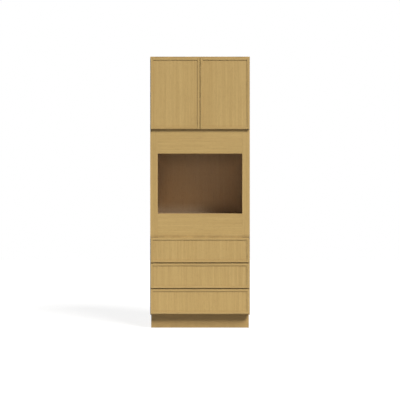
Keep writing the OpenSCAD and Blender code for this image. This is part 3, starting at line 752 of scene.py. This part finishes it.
def screwHeadMesh(kind):
    # the head stands on z = 0 and faces +Z
    head = screwHeads[kind]
    radius, height, crown = head["radius"], head["height"], head["crown"]
    points = [(0, 0), (radius, 0), (radius, height - crown)]
    points += [(radius * out, height - crown * drop) for out, drop in crownProfile]
    points.append((0, height))
    body = toObject(spinProfile(points, head["steps"]), kind + "_head")
    cross = bmesh.new()
    reach, width = crossRecess["reach"], crossRecess["width"]
    for sizes in ((reach, width), (width, reach)):
        arm = bmesh.ops.create_cube(cross, size=1)["verts"]
        bmesh.ops.scale(cross, vec=(sizes[0] * 2, sizes[1], head["recess"] * 2), verts=arm)
        bmesh.ops.translate(cross, vec=(0, 0, height), verts=arm)
    cutter = toObject(cross, kind + "_cross")
    cut = body.modifiers.new("crossRecess", "BOOLEAN")
    cut.operation = "DIFFERENCE"
    cut.solver = "EXACT"
    cut.use_self = True
    cut.object = cutter
    bpy.context.view_layer.update()
    mesh = bpy.data.meshes.new_from_object(body.evaluated_get(bpy.context.evaluated_depsgraph_get()))
    for spare in (body, cutter):
        bpy.data.objects.remove(spare)
    return mesh


headMeshes = {kind: screwHeadMesh(kind) for kind in screwHeads}


def copiesOf(mesh, name, places, material, body):
    # places are (point, direction that the copy's +Z faces) in the frame of the whole unit
    shape = bmesh.new()
    for number, (point, direction) in enumerate(places):
        start = len(shape.verts)
        shape.from_mesh(mesh)
        shape.verts.ensure_lookup_table()
        turn = Vector(direction).to_track_quat("Z", "Y").to_matrix().to_4x4()
        spin = Matrix.Rotation(turnEach * number, 4, "Z")
        bmesh.ops.transform(shape, matrix=Matrix.Translation(point) @ turn @ spin, verts=shape.verts[start:])
    piece = toObject(shape, name)
    piece.data.materials.clear()
    piece.data.materials.append(material)
    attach(piece, body)


hingeScrews = {
    "heights": (1.7526, 2.1971),                # middles of the hinges
    "earX": 0.38484, "earY": -0.29586, "earSpread": 0.0225,
    "plateX": 0.3795, "plateY": -0.28501, "plateSpread": 0.006,
}
runnerScrews = {
    "heights": {"bottom": 0.217825, "middle": 0.433725, "top": 0.649625},
    "depths": (-0.25369, -0.02969, 0.19431),
    "cabinetX": 0.3798, "drawerX": 0.3695,
}
frontScrews = {"x": (0.10, 0.30), "up": (0.040, 0.100), "boxUp": 0.044, "y": -0.280988}


def addHingeScrews():
    spec = hingeScrews
    plates = []
    for side, sign in doorSides.items():
        ears = [((sign * spec["earX"], spec["earY"], z + way * spec["earSpread"]), (0, 1, 0))
                for z in spec["heights"] for way in (-1, 1)]
        copiesOf(headMeshes["pan"], side + "_cup_screws", ears, nickelSteel, side + "_door")
        plates += [((sign * spec["plateX"], spec["plateY"], z + way * spec["plateSpread"]), (-sign, 0, 0))
                   for z in spec["heights"] for way in (-1, 1)]
    copiesOf(headMeshes["pan"], "hinge_plate_screws", plates, nickelSteel, "cabinet")


def addRunnerScrews():
    spec = runnerScrews
    fixed = [((sign * spec["cabinetX"], y, z), (-sign, 0, 0))
             for sign in (-1, 1) for y in spec["depths"] for z in spec["heights"].values()]
    copiesOf(headMeshes["low"], "cabinet_runner_screws", fixed, screwSteel, "cabinet")
    for name in drawerNames:
        moving = [((sign * spec["drawerX"], y, spec["heights"][name]), (sign, 0, 0))
                  for sign in (-1, 1) for y in spec["depths"]]
        copiesOf(headMeshes["pan"], name + "_runner_screws", moving, screwSteel, name + "_drawer")


def addFrontScrews():
    # they hold each drawer front from inside its box
    spec = frontScrews
    for name in drawerNames:
        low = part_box(name + "_front_frame")[0].z + spec["boxUp"]
        places = [((sign * x, spec["y"], low + up), (0, 1, 0))
                  for sign in (-1, 1) for x in spec["x"] for up in spec["up"]]
        copiesOf(headMeshes["washer"], name + "_front_screws", places, screwSteel, name + "_drawer")


addHingeScrews()
addRunnerScrews()
addFrontScrews()
print("screws added")


# soft bumpers behind the top corners of the drawer fronts
drawerBumper = {"radius": 0.005, "height": 0.0027, "round": 0.0007, "shoulder": 0.3, "inset": 0.012,
                "steps": 24}


def addDrawerBumpers():
    spec = drawerBumper
    radius, height, rounding = spec["radius"], spec["height"], spec["round"]
    shoulder = rounding * spec["shoulder"]
    points = [(0, 0), (radius, 0), (radius, height - rounding), (radius - shoulder, height - shoulder),
              (radius - rounding, height), (0, height)]
    mesh = toMesh(spinProfile(points, spec["steps"]), "bumperDisc")
    for name in drawerNames:
        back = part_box(name + "_front_panel")[1].y
        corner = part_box(name + "_front_frame")[1]
        places = [((sign * (corner.x - spec["inset"]), back, corner.z - spec["inset"]), (0, 1, 0))
                  for sign in (-1, 1)]
        copiesOf(mesh, name + "_drawer_bumpers", places, milkyRubber, name + "_drawer")


addDrawerBumpers()
print("bumpers added")


# wire staples that hold the back panel to the cupboard floor
backStaples = {"crown": 0.0111, "wire": 0.0012, "proud": 0.0004, "eased": 0.6, "count": 8, "reach": 0.36}


def addBackStaples():
    spec = backStaples
    shape = bmesh.new()
    bmesh.ops.create_cube(shape, size=1)
    bmesh.ops.scale(shape, vec=(spec["crown"], spec["wire"], spec["proud"] * 2), verts=shape.verts)
    bmesh.ops.bevel(shape, geom=shape.edges[:], offset=spec["proud"] * spec["eased"], offset_type="OFFSET",
                    segments=2, profile=0.5, affect="EDGES", material=-1)
    mesh = toMesh(shape, "backStaple")
    low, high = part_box("cupboard_floor")
    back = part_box("back_panel")[1].y
    step = 2 * spec["reach"] / (spec["count"] - 1)
    places = [((i * step - spec["reach"], back, (low.z + high.z) / 2), (0, 1, 0))
              for i in range(spec["count"])]
    copiesOf(mesh, "back_staples", places, zincSteel, "cabinet")


addBackStaples()
print("staples added")


# pale floor and soft studio light
studio = {
    "floorSize": 24.0,
    "paper": (0.25, 0.25, 0.25),
    "glow": 0.85,          # what the floor adds where the camera sees it
    "ambient": 0.08,
    "sunTint": (1.0, 0.985, 0.96),
}
keyLight = {
    "turn": 33.0,          # degrees to the right of straight on
    "rise": 42.0,          # degrees above level
    "spread": 22.0,
    "strength": 3.58,
}
backLight = {              # weaker, from behind on the left, so that the far sides show
    "turn": 215.0,
    "rise": 14.0,
    "spread": 40.0,
    "strength": 1.4,
}
floorLight = {             # a lit patch of floor in front of the unit
    "width": 3.2,
    "depth": 2.4,
    "height": 0.01,
    "power": 3.2,
}


def seenDirectly(tree):
    path = tree.nodes.new("ShaderNodeLightPath").outputs
    seen = maths(tree, "MAXIMUM", path["Is Camera Ray"], path["Is Glossy Ray"])
    return maths(tree, "MAXIMUM", seen, path["Is Transmission Ray"])


def addFloor():
    shape = bmesh.new()
    bmesh.ops.create_grid(shape, x_segments=1, y_segments=1, size=studio["floorSize"] / 2)
    floor = toObject(shape, "studioFloor")
    material = bpy.data.materials.new("studioFloor")
    material.use_nodes = True
    tree = material.node_tree
    tree.nodes.clear()
    paper = addNode(tree, "ShaderNodeBsdfDiffuse", Color=studio["paper"] + (1,))
    glow = addNode(tree, "ShaderNodeEmission", Color=white,
                   Strength=maths(tree, "MULTIPLY", seenDirectly(tree), studio["glow"]))
    both = addNode(tree, "ShaderNodeAddShader", i0=paper.outputs[0], i1=glow.outputs[0])
    addNode(tree, "ShaderNodeOutputMaterial", Surface=both.outputs[0])
    floor.data.materials.append(material)


def addSun(name, settings):
    data = bpy.data.lights.new(name, "SUN")
    data.energy = settings["strength"]
    data.angle = math.radians(settings["spread"])
    data.color = studio["sunTint"]
    sun = bpy.data.objects.new(name, data)
    sun.rotation_euler = (math.radians(90 - settings["rise"]), 0, math.radians(settings["turn"]))
    bpy.context.scene.collection.objects.link(sun)


def addFloorPatch():
    data = bpy.data.lights.new("floorLight", "AREA")
    data.shape = "RECTANGLE"
    data.size = floorLight["width"]
    data.size_y = floorLight["depth"]
    data.energy = floorLight["power"]
    patch = bpy.data.objects.new("floorLight", data)
    patch.location = (0, cadBox[0][1] - floorLight["depth"] / 2, floorLight["height"])
    patch.rotation_euler = (math.pi, 0, 0)
    patch.visible_camera = False
    bpy.context.scene.collection.objects.link(patch)


def addWorld():
    world = bpy.data.worlds.new("studioWorld")
    bpy.context.scene.world = world
    world.use_nodes = True
    tree = world.node_tree
    tree.nodes.clear()
    strength = mixValues(tree, seenDirectly(tree), studio["ambient"], 1.0)
    sky = addNode(tree, "ShaderNodeBackground", Color=white, Strength=strength)
    addNode(tree, "ShaderNodeOutputWorld", Surface=sky.outputs[0])


addFloor()
addSun("keyLight", keyLight)
addSun("backLight", backLight)
addFloorPatch()
addWorld()
bpy.context.scene.view_settings.view_transform = "Standard"
print("studio made")
